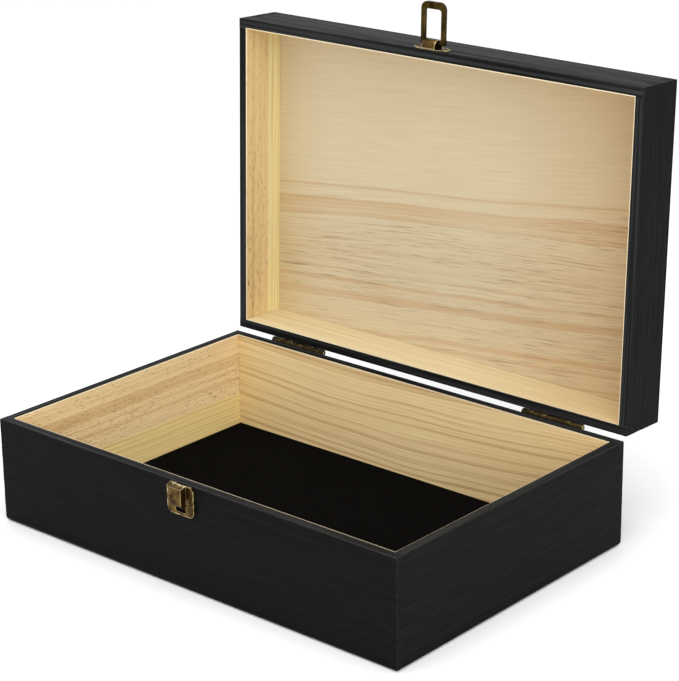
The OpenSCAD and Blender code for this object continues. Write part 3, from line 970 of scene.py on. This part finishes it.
@dataclass
class FeltFloor:
    """The black felt sheet on the floor of the base."""

    cuts: int = 90  # how many times the sheet is cut each way
    puff: float = 0.12 * MM  # how far its top swells
    border: float = 1.0 * MM  # width of the flat border
    deepest: float = 0.9  # how deep the border lies, as a share of the swell
    ripple: float = 0.35  # how deep the middle lies, on average, as the same share
    waves: Triple = (190.0, 230.0, 70.0)  # ripples in x and y and their bend
    bend: float = 3.0  # how far the ripples bend, in radians
    bump: tuple[float, float] = (0.6, 0.2 * MM)  # strength and distance of the bump
    shine: float = 0.05

    def material(self) -> bpy.types.Material:
        """Matted black fibres.

        Returns:
            The material.
        """
        made, graph = blank_material("black_felt")
        place = graph.node("TexCoord").outputs["Object"]
        matted = graph.noise(graph.scaled(place, FELT_MATTING), 5.0, 0.75)
        fibre = graph.node("TexVoronoi", {"Vector": graph.scaled(place, FELT_FIBRES)},
                           feature="DISTANCE_TO_EDGE").outputs["Distance"]
        cloud = graph.noise(graph.scaled(place, FELT_CLOUDS), 3.0)
        share = graph.math("ADD", graph.ramp(matted, 0.35, 0.7, 0.0, 0.6),
                           graph.ramp(cloud, 0.3, 0.7, 0.0, 0.4))
        height = graph.math("ADD", matted, graph.ramp(fibre, 0.0, 0.3, 0.5, 0.0))
        graph.finish(graph.mix(share, FELT_DARK, FELT_LIGHT),
                     graph.ramp(matted, 0.3, 0.7, 0.9, 1.0), height, self.bump,
                     {"Specular IOR Level": self.shine})
        return made

    def dip(self, x: float, y: float, inner: float) -> float:
        """How deep one point of the top lies, as a share of the swell.

        Args:
            x: Place from left to right.
            y: Place from front to back.
            inner: Distance from the nearest edge of the sheet.

        Returns:
            The share.
        """
        if inner < self.border:
            return self.deepest
        in_x, in_y, bent = self.waves
        wave = math.sin(in_x * x + self.bend * math.sin(bent * y))
        return self.ripple + self.ripple * wave * math.sin(in_y * y)

    def build(self) -> bpy.types.Object:
        """A thin sheet with a faintly uneven top.

        Returns:
            The sheet.
        """
        low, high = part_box("felt_liner")
        width, depth = high.x - low.x, high.y - low.y
        bpy.ops.object.select_all(action="DESELECT")
        bpy.ops.mesh.primitive_plane_add(size=1.0, location=(0.0, 0.0, high.z - self.puff))
        sheet = bpy.context.object
        sheet.name = "felt_sheet"
        bpy.ops.transform.resize(value=(width, depth, 1.0))
        bpy.ops.object.transform_apply(location=True, rotation=True, scale=True)
        bpy.ops.object.mode_set(mode="EDIT")
        bpy.ops.mesh.select_all(action="SELECT")
        bpy.ops.mesh.subdivide(number_cuts=self.cuts)
        bpy.ops.mesh.extrude_region_move(TRANSFORM_OT_translate={"value": (0.0, 0.0, self.puff)})
        bpy.ops.object.mode_set(mode="OBJECT")
        for vertex in sheet.data.vertices:
            x, y, z = vertex.co
            if z > high.z - self.puff / 2:
                inner = min(width / 2 - abs(x), depth / 2 - abs(y))
                vertex.co.z = high.z - self.puff * self.dip(x, y, inner)
            else:
                vertex.co.z = low.z
        bpy.ops.object.mode_set(mode="EDIT")
        bpy.ops.mesh.select_all(action="SELECT")
        bpy.ops.mesh.normals_make_consistent(inside=False)
        bpy.ops.object.mode_set(mode="OBJECT")
        bpy.ops.object.shade_smooth_by_angle(angle=math.radians(40))
        sheet.data.materials.append(self.material())
        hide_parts("felt_liner")
        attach(sheet, "base")
        LOG.info("built %s", sheet.name)
        return sheet


@dataclass(frozen=True)
class Lamp:
    """One soft square light."""

    name: str
    place: Triple  # where it hangs, in metres
    aim: Triple
    size: float  # its side, in metres
    power: float  # its power, in watts

    def hang(self) -> None:
        """Adds the light to the scene."""
        data = bpy.data.lights.new(self.name, "AREA")
        data.shape = "SQUARE"
        data.size = self.size
        data.energy = self.power
        light = bpy.data.objects.new(self.name, data)
        light.location = self.place
        ahead = Vector(self.aim) - Vector(self.place)
        light.rotation_euler = ahead.to_track_quat("-Z", "Y").to_euler()
        bpy.context.collection.objects.link(light)


@dataclass(frozen=True)
class Studio:
    """The floor, the soft lights and the camera of the photograph."""

    camera_place: Triple = (0.81001, -0.88856, 0.54725)  # where the camera stands, in metres
    azimuth: float = 40.3052  # its turn round the case, in degrees
    elevation: float = 18.9032  # how far it looks down, in degrees
    roll: float = -0.4177
    lens: float = 119.525  # its focal length, in millimetres
    sensor: float = 36.0  # width of its sensor, in millimetres
    shift: tuple[float, float] = (-0.06143, -0.04372)  # its shift, right and up
    clip: tuple[float, float] = (0.01, 50.0)  # nearest and farthest distance that it sees
    floor_size: float = 30.0
    floor_glow: float = 0.05  # strength of the floor's own light
    surround: float = 0.85  # strength of the white surround
    lamps: tuple[Lamp, ...] = (Lamp("overhead", (0.1, -0.25, 1.9), (0.0, 0.0, 0.1), 1.5, 20.0),
                               Lamp("right", (1.7, -0.9, 0.9), (0.0, 0.0, 0.12), 1.2, 12.0))

    def camera(self) -> None:
        """Sets the camera where the photograph was taken from."""
        data = bpy.data.cameras.new("camera")
        data.lens = self.lens
        data.sensor_width = self.sensor
        data.shift_x, data.shift_y = self.shift
        data.clip_start, data.clip_end = self.clip
        camera = bpy.data.objects.new("camera", data)
        bpy.context.collection.objects.link(camera)
        turn, tilt = math.radians(self.azimuth), math.radians(self.elevation)
        ahead = Vector((-math.sin(turn) * math.cos(tilt), math.cos(turn) * math.cos(tilt),
                        -math.sin(tilt)))
        level = ahead.cross(Vector((0.0, 0.0, 1.0))).normalized()
        rise = level.cross(ahead)
        lean = math.radians(self.roll)
        right = level * math.cos(lean) + rise * math.sin(lean)
        up = right.cross(ahead)
        camera.matrix_world = Matrix.Translation(self.camera_place) @ Matrix(
            (right, up, -ahead)).transposed().to_4x4()
        bpy.context.scene.camera = camera

    def floor(self) -> None:
        """A plain pale floor."""
        bpy.ops.object.select_all(action="DESELECT")
        bpy.ops.mesh.primitive_plane_add(size=self.floor_size, location=(0.0, 0.0, 0.0))
        floor = bpy.context.object
        floor.name = "floor"
        made = bpy.data.materials.new("pale_floor")
        made.use_nodes = True
        shader = made.node_tree.nodes["Principled BSDF"]
        shader.inputs["Base Color"].default_value = grey(0.93)
        shader.inputs["Roughness"].default_value = 0.9
        shader.inputs["Specular IOR Level"].default_value = 0.1
        shader.inputs["Emission Color"].default_value = grey(1.0)
        shader.inputs["Emission Strength"].default_value = self.floor_glow
        floor.data.materials.append(made)

    def lights(self) -> None:
        """Soft studio light: a bright surround and the lamps."""
        world = bpy.data.worlds.new("surround")
        world.use_nodes = True
        sky = world.node_tree.nodes["Background"]
        sky.inputs["Color"].default_value = grey(1.0)
        sky.inputs["Strength"].default_value = self.surround
        bpy.context.scene.world = world
        for lamp in self.lamps:
            lamp.hang()
        bpy.context.scene.view_settings.view_transform = "Standard"
        bpy.context.scene.view_settings.look = "None"

    def set_up(self) -> None:
        """Builds the whole studio."""
        self.camera()
        self.floor()
        self.lights()


def case_boards() -> list[Board]:
    """The ten boards of the case, each with the cut that the photograph shows.

    Returns:
        The boards.
    """
    return [
        Board("bottom_panel", Grain.PANEL, -1, 1.0, Rings()),
        Board("base_front_wall", Grain.ALONG_X, -1, 2.3, Rings(heart=40 * MM)),
        # The base's inner walls get paler wood than the default: part is their own tone, part is
        # painted light into the base's hollow.
        Board("base_back_wall", Grain.ALONG_X, 1, 3.1,
              Rings(ring=5.6 * MM, heart=78 * MM, depth=12 * MM, slope=-0.03, bow=-0.2,
                    wave=13 * MM, strength=0.62, early=srgb(252, 227, 174),
                    late=srgb(196, 152, 98), zone_ring=1.7 * MM), tan=0.3),
        Board("base_left_wall", Grain.ALONG_Y, -1, 4.7,
              Rings(ring=9 * MM, heart=-20 * MM, depth=12 * MM, slope=0.01, wave=4 * MM,
                    strength=0.6, early=srgb(252, 226, 182), late=srgb(216, 172, 118),
                    zone_at=25 * MM, zone_side=-1.0, zone_early=srgb(253, 230, 168),
                    zone_late=srgb(208, 166, 102),
                    fleck_from=20 * MM, fleck_to=70 * MM, fleck_pitch=230.0, flecks=0.9)),
        Board("base_right_wall", Grain.ALONG_Y, 1, 5.9, Rings(heart=10 * MM)),
        # The lid's inner boards get darker wood than the base's: part is their own tone, part is
        # painted shade.
        Board("lid_top_panel", Grain.PANEL, 1, 6.4,
              Rings(ring=19 * MM, heart=-88 * MM, depth=4 * MM, slope=0.10, wave=12 * MM,
                    strength=0.5, early=srgb(216, 200, 168), late=srgb(194, 154, 106),
                    band_from=-6 * MM,
                    fleck_from=14 * MM, fleck_to=120 * MM, fleck_pitch=50.0, flecks=0.6),
              in_lid=True, tan=0.75),
        # Its outside faces up while the lid is open: its light streaks are painted sheen of the
        # light from above.
        Board("lid_front_wall", Grain.ALONG_X, -1, 7.2, Rings(), in_lid=True,
              stain=Stain(grey(0.0044), grey(0.037, -0.03), 0.25)),
        Board("lid_back_wall", Grain.ALONG_X, 1, 8.8,
              Rings(ring=3.4 * MM, heart=40 * MM, depth=12 * MM, wave=6 * MM, strength=0.8,
                    zone_at=0.0, zone_early=srgb(222, 206, 168), zone_late=srgb(192, 162, 112)),
              in_lid=True, tan=0.6),
        Board("lid_left_wall", Grain.ALONG_Y, -1, 9.5,
              Rings(ring=6 * MM, heart=110 * MM, depth=10 * MM, wave=3 * MM, strength=0.6,
                    early=srgb(228, 203, 158), late=srgb(206, 168, 116), zone_at=84 * MM,
                    zone_early=srgb(238, 224, 174), zone_late=srgb(212, 184, 120),
                    fleck_from=60 * MM, fleck_to=100 * MM, fleck_pitch=200.0, flecks=0.9),
              in_lid=True),
        Board("lid_right_wall", Grain.ALONG_Y, 1, 10.6, Rings(heart=70 * MM), in_lid=True),
    ]


def case_hardware(kit: GroupKit) -> list[Hardware]:
    """The hinges, the catch and the hasp, each in its tone.

    Args:
        kit: The shared groups.

    Returns:
        The groups of pieces.
    """
    latch_tones = srgb(52, 38, 14), srgb(104, 82, 42)
    latch_edge = 0.4 * MM
    catch_plate = 1.6 * MM
    return [
        Hardware(kit, Bronze("catch_bronze", *latch_tones), ["catch_plate", "catch_screws"],
                 latch_edge, catch_plate),
        Hardware(kit, Bronze("hasp_bronze", *latch_tones), ["hasp_plate", "hasp_screws"],
                 latch_edge),
        Hardware(kit, Bronze("loop_bronze", srgb(26, 19, 6), srgb(76, 60, 22)), ["hasp_loop"],
                 latch_edge),
        Hardware(kit, Bronze("hinge_bronze", srgb(48, 39, 22), srgb(82, 68, 40)),
                 ["left_hinge_base_leaf", "left_hinge_lid_leaf", "left_hinge_pin",
                  "right_hinge_base_leaf", "right_hinge_lid_leaf", "right_hinge_pin",
                  "base_hinge_screws", "lid_hinge_screws"]),
    ]


def main() -> None:
    """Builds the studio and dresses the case."""
    logging.basicConfig(level=logging.INFO, format="%(name)s: %(message)s")
    Studio().set_up()
    sizes = Sizes.read()
    kit = shared_groups()
    Woodwork(sizes, kit, case_boards()).dress()
    FeltFloor().build()
    for hardware in case_hardware(kit):
        hardware.dress()


if __name__ == "__main__":
    main()
